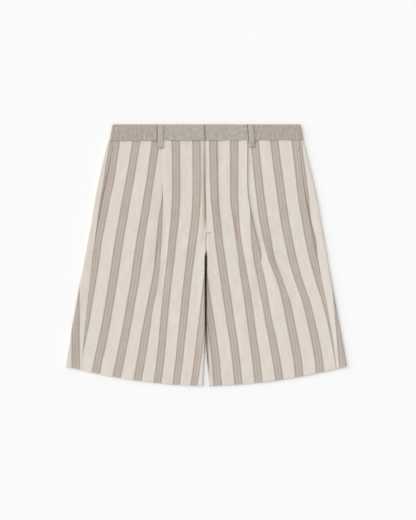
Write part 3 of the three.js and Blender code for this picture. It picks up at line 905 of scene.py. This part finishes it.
def back_panel(leg):
    sign = leg["sign"]
    wide = {**leg, "inner": lambda down: back_inner(leg, down)}
    whole_stripe = curve([row[0] for row in BACK_STRIPES[sign]], [row[1] for row in BACK_STRIPES[sign]])
    columns = []

    def crest(down):
        return side_crest(leg, down)

    def side_grain(down):
        return crest(down) - whole_stripe(down)

    for t in np.arange(EDGE_STEPS, 0, -1) / EDGE_STEPS:

        def rolled(down, t=t):
            x, lift = edge_point(wide, back_roll, down, t)
            u = side_grain(down) + pi * SIDE_RADIUS + crest(down) - x + lift
            return x, BACK_HEIGHT + lift, u

        columns.append((lambda down, t=t: edge_point(wide, back_roll, down, t)[0], rolled))
    for t in np.linspace(0, 1, BACK_STEPS):

        def line(down, t=t):
            return blend(edge_start(wide, back_roll, down), crest(down), t)

        def under(down, line=line):
            x = line(down)
            near = rise((x - edge_start(wide, back_roll, down)) / 12) * rise((crest(down) - x) / 12)
            lift = back_relief(sign * x, down) * near * rise((hem_down(x) - down) / 30 + 0.25)
            u = side_grain(down) + pi * SIDE_RADIUS + (crest(down) - x) * (1 + 0.12 * fall(down / 500))
            return x, BACK_HEIGHT + lift, u

        columns.append((line, under))
    for t in np.arange(1, SIDE_STEPS + 1) / SIDE_STEPS:

        def round_side(down, t=t):
            x = crest(down) + SIDE_RADIUS * np.sin(pi * t)
            height = BACK_HEIGHT + SIDE_RADIUS * (1 - np.cos(pi * t))
            return x, height, side_grain(down) + pi * SIDE_RADIUS * (1 - t)

        columns.append((lambda down, t=t: crest(down) + SIDE_RADIUS * np.sin(pi * t), round_side))
    for t in np.linspace(0, 1, WRAP_STEPS)[1:]:

        def line(down, t=t):
            return blend(crest(down), leg["outseam"](down) + SEAM / 2, t)

        def over(down, line=line):
            x = line(down)
            lie = front_height(leg, x, down) + front_relief(sign * x, down) * rise((crest(down) - x) / 8)
            return x, lie, x - whole_stripe(down)

        columns.append((line, over))
    points, grain = panel_points(sign, columns)
    shade = np.zeros(points.shape[:2])
    # Painted shade, nearly black, on the inner edge's columns where they show through the gap between the
    # legs.
    shade[:, :SHADED_COLUMNS] = 0.975 * gap_shade(BACK_GAP[sign], points[:, :SHADED_COLUMNS, 1])
    return points, grain, shade


def back_inner(leg, down):
    """The back is cut wider at the crotch, and its edges close the top of the gap."""
    own = np.maximum(leg["inner"](down), SEAM / 2)
    return blend(np.minimum(own, SEAM / 2 + 0.1), own, rise((down - 452) / 45))


for name, side in (("right", RIGHT_LEG), ("left", LEFT_LEG)):
    points, grain, shade = back_panel(side)
    piece = cloth_piece("back_" + name, points, grain, CLOTH, cotton, shade)
    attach(piece, "root")
    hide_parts("back_" + name)

# Pocket bags and fly
# The bags are plain cream cotton, and show only as a shadow in the open outseam. Under
# the fly's flap lie a shield of the striped cloth and the zip's tape.
BAG_END = 318
BAG_FROM_FOLD = 34


def strip_points(sign, top, end, line, height, rows, columns):
    """Middle points of a strip between two lines, over a stretch of the way down."""
    down = np.linspace(top, end, rows)[:, None] * np.ones(columns)
    x = line(down, np.linspace(0, 1, columns)[None, :] * np.ones((rows, 1)))
    points = np.stack([sign * x, down, height(x, down) * np.ones_like(x)], axis=-1)
    return points, np.stack([x + PITCH / 2, down], axis=-1)


# As STRIPED_YARN: slubs, and the mottled look of two mixed yarns.
PLAIN_YARN = {"slubs": (1.43, 2, 3.0), "mottles": (9.09, 6.67, 3.0)}


def plain_cotton(name, colour, mottle=0.0):
    """Plain woven cotton: one matt colour with fine slubs both ways, and mottled by mixed yarns."""
    material, tree = empty_material(name)
    weave = add_node(tree, "ShaderNodeUVMap", uv_map="weave")
    yarn = yarn_patterns(tree, weave, PLAIN_YARN)
    ramp = add_node(tree, "ShaderNodeValToRGB", {"Fac": yarn["slubs"]})
    dark, light = (tuple(c * k for c in linear(colour)[:3]) + (1.0,) for k in (0.86, 1.1))
    ramp.color_ramp.elements[0].position, ramp.color_ramp.elements[1].position = 0.3, 0.7
    ramp.color_ramp.elements[0].color, ramp.color_ramp.elements[1].color = dark, light
    tone = add_node(
        tree,
        "ShaderNodeMapRange",
        {"Value": yarn["mottles"], 1: 0.3, 2: 0.7, 3: 1 - mottle, 4: 1 + mottle},
    )
    mottled = add_node(
        tree,
        "ShaderNodeMix",
        {"Factor": 1.0, 6: ramp.outputs["Color"], 7: tone.outputs["Result"]},
        data_type="RGBA",
        blend_type="MULTIPLY",
    )
    shaded = with_painted_shade(tree, mottled.outputs[2])
    bump = add_node(
        tree, "ShaderNodeBump", {"Height": yarn["slubs"], "Strength": 0.4, "Distance": 0.0003}
    )
    surface = add_node(
        tree,
        "ShaderNodeBsdfPrincipled",
        {
            "Base Color": shaded,
            "Normal": bump.outputs["Normal"],
            "Roughness": 0.9,
            "Specular IOR Level": 0.2,
        },
    )
    add_node(tree, "ShaderNodeOutputMaterial", {"Surface": surface.outputs["BSDF"]})
    return material


bag_cotton = plain_cotton("pocket_bag_cotton", "#c9bfb0")
tape = plain_cotton("zip_tape_cotton", "#c4bbac")
for name, side in (("right", RIGHT_LEG), ("left", LEFT_LEG)):

    def bag_line(down, t, leg=side):
        reach = (down - BAND_HEIGHT) / (BAG_END - BAND_HEIGHT)
        inner = leg["fold"](down) + BAG_FROM_FOLD + 30 * reach**6
        return blend(leg["outseam"](down) + 3, inner, t)

    points, grain = strip_points(
        side["sign"],
        BAND_HEIGHT + 2,
        BAG_END,
        bag_line,
        lambda x, down: BACK_HEIGHT + LEVEL,
        rows=60,
        columns=30,
    )
    piece = cloth_piece("pocket_" + name, points, grain, CLOTH, bag_cotton)
    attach(piece, "root")
    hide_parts("pocket_" + name)

SHIELD_REACH = (-12, 36)
points, grain = strip_points(
    1,
    BAND_HEIGHT + 2,
    FLY_END + 2,
    lambda down, t: blend(*SHIELD_REACH, t),
    lambda x, down: BACK_HEIGHT + LEVEL,
    rows=40,
    columns=14,
)
shield = cloth_piece("fly_shield", points, grain, CLOTH, cotton)
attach(shield, "root")
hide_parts("fly_shield")

ZIP_WIDTH = 12
ZIP_START = 1.5
points, grain = strip_points(
    1,
    BAND_HEIGHT + 4,
    FLY_END - 6,
    lambda down, t: ZIP_START + SEAM + ZIP_WIDTH * t,
    lambda x, down: BACK_HEIGHT + 2 * LEVEL,
    rows=60,
    columns=8,
)
zip_tape = cloth_piece("fly_zip", points, grain, CLOTH, tape)
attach(zip_tape, "root")
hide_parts("fly_zip")

# Waistband
# A doubled band of taupe cotton. Its back is gathered over wide elastic, which goes
# round both sides as far as the belt loops; the two front pieces are smooth and close
# over each other at the centre.
BAND_WALL = 2.2
BAND_TOP = 4.2
BAND_RADIUS = (BAND_TOP - 1.2) / 2
BAND_JOINT = 98.5
BAND_FLARE = 6.3
BAND_STEPS = 150
BAND_ROWS = 26
CRINKLES = 22
CRINKLE_LENGTHS = (4.5, 13)
CRINKLE_LEAN = 0.35
CRINKLE_DEPTH = 0.0075  # for each millimetre of a crinkle's length
band_cotton = plain_cotton("taupe_chambray_cotton", "#b5ada3", 0.14)
gathered_cotton = plain_cotton("gathered_taupe_cotton", "#b2a89f", 0.1)


def band_side(down):
    return HALF_WAIST + BAND_FLARE * down / BAND_HEIGHT


def gathers(x, down):
    """Small crinkles of the cloth over the elastic, mostly upright, uneven in width and depth."""
    chance = np.random.default_rng(11)
    total = 0 * x
    for _ in range(CRINKLES):
        length = chance.uniform(*CRINKLE_LENGTHS)
        angle = chance.normal(0, CRINKLE_LEAN)
        phase = chance.uniform(0, 2 * pi)
        across = x * np.cos(angle) + down * np.sin(angle)
        total = total + length * np.sin(2 * pi * across / length + phase)
    return CRINKLE_DEPTH * total


# Where the band is pressed in beside the loops: the place at its top and its lower edge.
LOOP_DENTS = {-1: (104.8, 104.8), 1: (88.9, 92.6)}
DENT_WIDTH = 1.5


def loop_dent(sign, x, down):
    top, foot = LOOP_DENTS[sign]
    return hump(x, blend(top, foot, down / BAND_HEIGHT), DENT_WIDTH)


def band_back():
    def half(sign):
        columns = []

        def crest(down):
            return band_side(down) - BAND_WALL / 2 - BAND_RADIUS

        for t in np.linspace(0, 1, BAND_STEPS):

            def over(down, t=t):
                x = blend(BAND_JOINT + SEAM / 2, crest(down), t)
                even = rise((x - BAND_JOINT) / 4) * rise((crest(down) - x) / 6)
                dent = 0.9 * loop_dent(sign, x, down) if sign < 0 else 0
                return sign * x, BAND_TOP + gathers(sign * x, down) * even - dent

            columns.append(over)
        for t in np.arange(1, SIDE_STEPS + 1) / SIDE_STEPS:

            def turn(down, t=t):
                x = crest(down) + BAND_RADIUS * np.sin(pi * t)
                return sign * x, BAND_TOP - BAND_RADIUS * (1 - np.cos(pi * t))

            columns.append(turn)
        for t in np.linspace(0, 1, BAND_STEPS)[1:]:

            def under(down, t=t):
                x = blend(crest(down), 1.0, t)
                even = rise((crest(down) - x) / 10)
                return sign * x, BAND_TOP - 2 * BAND_RADIUS + (0.25 + 0.6 * gathers(sign * x, down)) * even

            columns.append(under)
        return columns

    columns = [*half(-1), *half(1)[::-1]]
    down = np.linspace(0, BAND_HEIGHT, BAND_ROWS)
    points = np.zeros((len(down), len(columns), 3))
    for k, at in enumerate(columns):
        x, height = (value + 0 * down for value in at(down))
        points[:, k] = np.stack([x, down * band_end(x) / BAND_HEIGHT, height], axis=-1)
    run = np.cumsum(np.hypot(*np.diff(points[0][:, [0, 2]], axis=0, prepend=points[0][:1, [0, 2]]).T))
    grain = np.stack([np.tile(run, (len(down), 1)), points[..., 1]], axis=-1)
    return points, grain


points, grain = band_back()
# Painted shade in the dent beside the right front loop, on the band's upper layer only.
on_top = points[..., 2] > BAND_TOP - BAND_RADIUS
shade = 0.4 * loop_dent(-1, -points[..., 0], points[..., 1]) * on_top
band = cloth_piece("waistband_back", points, grain, BAND_WALL, gathered_cotton, shade)
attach(band, "root")
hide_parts("waistband_back")

# How far past the centre the left piece laps, at the band's top and at its lower edge.
CLOSING = (2.4, 1.0)


def closing(down):
    return blend(*CLOSING, down / BAND_HEIGHT)


def smooth_band(name, xs, lie, shade):
    down = np.linspace(0, BAND_HEIGHT, BAND_ROWS)[:, None] * np.ones(BAND_STEPS)
    x = xs(down, np.linspace(0, 1, BAND_STEPS)[None, :])
    soft = 0.15 * rumple(x, down, 5) * rise(down / 6) * rise((BAND_HEIGHT - down) / 6)
    points = np.stack([x, down * band_end(x) / BAND_HEIGHT, lie(x, down) + soft], axis=-1)
    grain = np.stack([x, down], axis=-1)
    piece = cloth_piece(name, points, grain, BAND_WALL, band_cotton, shade(x, down))
    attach(piece, "root")
    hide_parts(name)


smooth_band(
    "waistband_front_right",
    lambda down, t: blend(-BAND_JOINT + SEAM / 2, -closing(down) - 0.6, t),
    lambda x, down: BAND_TOP - 0.5 * hump(x, -closing(down), 2.5),
    # Painted shade where the left piece laps over the right, at the closing.
    lambda x, down: 0.5 * hump(x, -closing(down) - 1, 1.6),
)
smooth_band(
    "waistband_front_left",
    lambda down, t: blend(-closing(down), BAND_JOINT - SEAM / 2, t),
    lambda x, down: BAND_TOP + 0.9 * fall((x - 20) / 30) - 0.9 * loop_dent(1, x, down),
    # Painted shade in the dent beside the left front loop.
    lambda x, down: 0.62 * loop_dent(1, x, down),
)

# Belt loops
# Folded strips of the band's cloth, sewn over the band and down on to the panels. The
# front left one leans outwards; three more lie flat across the back.
LOOP_WIDTH = 11
LOOP_WALL = 1.2
LOOP_BOW = 0.4
LOOP_TOP = 1.5
FRONT_LOOPS = {
    "right": (-1, 97.8, 97.8, 51, 5.9, -0.05),
    "left": (1, 95.3, 99.2, 49, 3.9, -0.03),
}
loop_cotton = plain_cotton("loop_taupe_cotton", "#bbb0a5")
for name, (sign, top, foot, end, seat, tilt) in FRONT_LOOPS.items():

    def middle(down, top=top, foot=foot, end=end):
        return blend(top, foot, (down - LOOP_TOP) / (end - LOOP_TOP))

    def loop_height(x, down, middle=middle, seat=seat, tilt=tilt):
        bow = LOOP_BOW * np.sin(pi * np.clip(down / BAND_HEIGHT, 0, 1))
        on_band = BAND_TOP + BAND_WALL / 2 + 0.2 + LOOP_WALL / 2 + bow
        round_edge = 0.45 * np.abs((x - middle(down)) / LOOP_WIDTH * 2) ** 4
        on_panel = seat + tilt * (x - middle(down))
        return blend(on_band, on_panel, rise((down - BAND_HEIGHT - 1.5) / 8)) - round_edge

    points, grain = strip_points(
        sign,
        LOOP_TOP,
        end,
        lambda down, t, middle=middle: middle(down) + (t - 0.5) * LOOP_WIDTH,
        loop_height,
        rows=60,
        columns=17,
    )
    piece = cloth_piece("belt_loop_front_" + name, points, grain, LOOP_WALL, loop_cotton)
    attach(piece, "root")
    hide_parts("belt_loop_front_" + name)

BACK_LOOPS = {"right": -118, "centre": 0, "left": 118}
BACK_LOOP_WALL = 0.9
BACK_LOOP_END = 50
for name, x_middle in BACK_LOOPS.items():
    points, grain = strip_points(
        1,
        2,
        BACK_LOOP_END,
        lambda down, t, x_middle=x_middle: x_middle + (t - 0.5) * LOOP_WIDTH,
        lambda x, down: BACK_LOOP_WALL / 2,
        rows=50,
        columns=13,
    )
    piece = cloth_piece("belt_loop_back_" + name, points, grain, BACK_LOOP_WALL, loop_cotton)
    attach(piece, "root")
    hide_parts("belt_loop_back_" + name)

# Sewing
# The curved line that holds the fly's facing, and the dense bar tacks at its foot, at both
# ends of the pockets' mouths and at the ends of the front loops.

# Spun polyester thread, a little darker than the cloth.
thread, tree = empty_material("sewing_thread")
spun = add_node(
    tree, "ShaderNodeBsdfPrincipled", {"Base Color": linear("#a39584"), "Roughness": 0.75}
)
add_node(tree, "ShaderNodeOutputMaterial", {"Surface": spun.outputs["BSDF"]})

stitch_tree = bpy.data.node_groups.new("stitches", "GeometryNodeTree")
for name, kind in (
    ("Lines", "NodeSocketGeometry"),
    ("Step", "NodeSocketFloat"),
    ("Size", "NodeSocketVector"),
    ("Thread", "NodeSocketMaterial"),
):
    stitch_tree.interface.new_socket(name, in_out="INPUT", socket_type=kind)
stitch_tree.interface.new_socket("Stitches", in_out="OUTPUT", socket_type="NodeSocketGeometry")
given = add_node(stitch_tree, "NodeGroupInput").outputs
lines = add_node(stitch_tree, "GeometryNodeMeshToCurve", {"Mesh": given["Lines"]})
even = add_node(
    stitch_tree,
    "GeometryNodeResampleCurve",
    {"Curve": lines.outputs["Curve"], "Length": given["Step"]},
    mode="LENGTH",
)
tangent = add_node(stitch_tree, "GeometryNodeInputTangent")
along = add_node(
    stitch_tree, "FunctionNodeAlignRotationToVector", {"Vector": tangent.outputs["Tangent"]}, axis="X"
)
stitch = add_node(stitch_tree, "GeometryNodeMeshUVSphere", {"Segments": 6, "Rings": 4, "Radius": 0.5})
stray = add_node(
    stitch_tree,
    "FunctionNodeRandomValue",
    {"Min": (0.8, 0.8, 0.8), "Max": (1.1, 1.1, 1.1), "Seed": 4},
    data_type="FLOAT_VECTOR",
)
uneven = add_node(
    stitch_tree,
    "ShaderNodeVectorMath",
    {0: given["Size"], 1: stray.outputs["Value"]},
    operation="MULTIPLY",
)
placed = add_node(
    stitch_tree,
    "GeometryNodeInstanceOnPoints",
    {
        "Points": even.outputs["Curve"],
        "Instance": stitch.outputs["Mesh"],
        "Rotation": along.outputs["Rotation"],
        "Scale": uneven.outputs["Vector"],
    },
)
real = add_node(stitch_tree, "GeometryNodeRealizeInstances", {"Geometry": placed.outputs["Instances"]})
sewn = add_node(
    stitch_tree,
    "GeometryNodeSetMaterial",
    {"Geometry": real.outputs["Geometry"], "Material": given["Thread"]},
)
add_node(stitch_tree, "NodeGroupOutput", {"Stitches": sewn.outputs["Geometry"]})

# Distance between stitches, and a stitch's length, width and height, in metres.
RUNNING = {"Step": 0.0028, "Size": (0.0021, 0.0006, 0.0005)}
TACK = {"Step": 0.0007, "Size": (0.0008, 0.0024, 0.0006)}


def sew(name, lines, sizes):
    """Thread along lines of (x, down, height) in millimetres, by the node tree above."""
    corners = []
    edges = []
    for line in lines:
        first = len(corners)
        corners += [(x / 1000, (LENGTH / 2 - down) / 1000, height / 1000) for x, down, height in line]
        edges += [(k, k + 1) for k in range(first, len(corners) - 1)]
    mesh = bpy.data.meshes.new(name + "_lines")
    mesh.from_pydata(corners, edges, [])
    piece = bpy.data.objects.new(name, mesh)
    bpy.context.scene.collection.objects.link(piece)
    modifier = piece.modifiers.new("stitches", "NODES")
    modifier.node_group = stitch_tree
    sockets = {item.name: item.identifier for item in stitch_tree.interface.items_tree}
    for key, value in {**sizes, "Thread": thread}.items():
        modifier[sockets[key]] = value
    made = piece.evaluated_get(bpy.context.evaluated_depsgraph_get())
    plain = bpy.data.meshes.new_from_object(made)
    piece.modifiers.remove(modifier)
    piece.data = plain
    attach(piece, "root")


def front_top(leg, x, down):
    """Height of the front's upper surface."""
    inside = x < leg["fold"](down)
    middle = np.where(inside, inner_height(leg, x, down), outer_height(leg, x, down))
    return middle + front_relief(leg["sign"] * x, down) + CLOTH / 2


def on_front(leg, x, down):
    x, down = np.array(x, float), np.array(down, float)
    return list(zip(leg["sign"] * x, down, front_top(leg, x, down)))


turns = np.linspace(0, pi / 2, 24)[1:]
fly_x = np.concatenate([np.full(30, FLY_LINE), FLY_FOOT + (FLY_LINE - FLY_FOOT) * np.cos(turns) ** 0.8])
fly_down = np.concatenate(
    [np.linspace(BAND_HEIGHT + 2, FLY_BEND, 30), FLY_BEND + (FLY_END + 2 - FLY_BEND) * np.sin(turns) ** 0.8]
)
sew("fly_stitches", [on_front(LEFT_LEG, fly_x, fly_down)], RUNNING)
tacks = [on_front(LEFT_LEG, np.linspace(1.2, 7.5, 12), np.linspace(FLY_END + 2, FLY_END + 1.2, 12))]
for side in (RIGHT_LEG, LEFT_LEG):
    pocket_end = POCKET_END[side["sign"]]
    for start, end in ((POCKET_TOP - 12, POCKET_TOP - 1), (pocket_end + 1, pocket_end + 9)):
        down = np.linspace(start, end, 14)
        tacks.append(on_front(side, side["outseam"](down) - 1.5, down))
sew("bar_tacks", tacks, TACK)
loop_tacks = []
across = np.linspace(-LOOP_WIDTH / 2 + 1, LOOP_WIDTH / 2 - 1, 12)
for sign, _, foot, end, seat, tilt in FRONT_LOOPS.values():
    heights = seat + tilt * across + LOOP_WALL / 2 - 0.05
    loop_tacks.append([(sign * (foot + x), end - 2, height) for x, height in zip(across, heights)])
sew("loop_tacks", loop_tacks, TACK)
